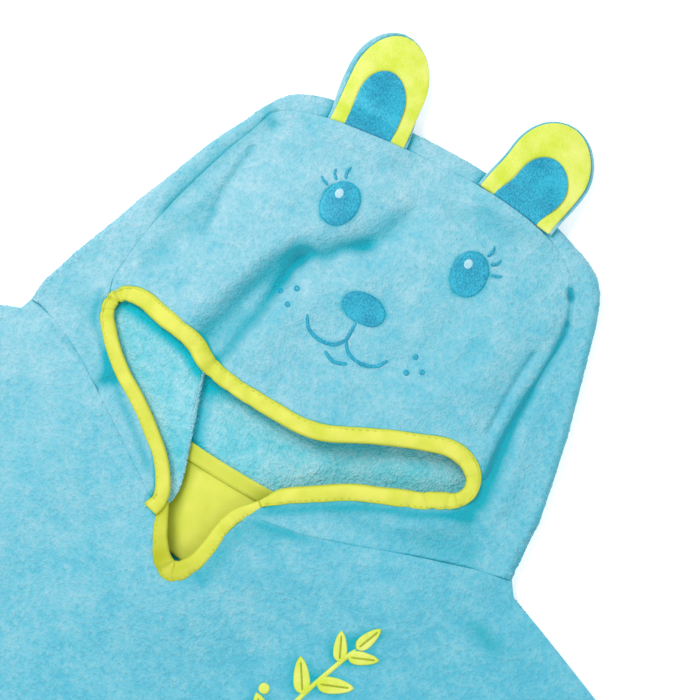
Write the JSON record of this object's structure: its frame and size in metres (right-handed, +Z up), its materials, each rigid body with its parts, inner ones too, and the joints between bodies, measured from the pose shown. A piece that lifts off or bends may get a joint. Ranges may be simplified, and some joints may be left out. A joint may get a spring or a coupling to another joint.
{
  "type": "child's hooded bath poncho laid out flat",
  "caption": "Child's hooded bath poncho of terry towelling, laid out flat, with a bound face opening and V neck and with animal ears on the hood.",
  "frame": {"origin": "on the flat underside, on the middle line, level with the two corners where the hood meets the shoulders", "axes": "+Z up from the surface it lies on, +Y from the hem towards the top of the hood, +X towards the right of somebody looking at the front"},
  "size_m": [0.64, 0.8576, 0.0198],
  "materials": {
    "body_towelling": "light aqua terry towelling with a looped pile",
    "hood_towelling": "paler aqua terry towelling with a looped pile",
    "lime_binding": "smooth lime cotton binding, folded and stitched",
    "satin_stitch": "lime satin stitch in glossy thread",
    "teal_stitch": "teal filling stitch in glossy thread"
  },
  "bodies": {
    "root": {"body_back": "body_towelling", "body_front": "body_towelling", "hood_back": "hood_towelling", "hood_tuck": "hood_towelling", "hood_front": "hood_towelling", "ear_back_left": "hood_towelling", "ear_front_left": "satin_stitch", "ear_middle_left": "teal_stitch", "ear_back_right": "hood_towelling", "ear_front_right": "satin_stitch", "ear_middle_right": "teal_stitch", "face_binding": "lime_binding", "neck_binding": "lime_binding", "neck_tape": "lime_binding", "neck_facing": "lime_binding"}
  },
  "joints": []
}
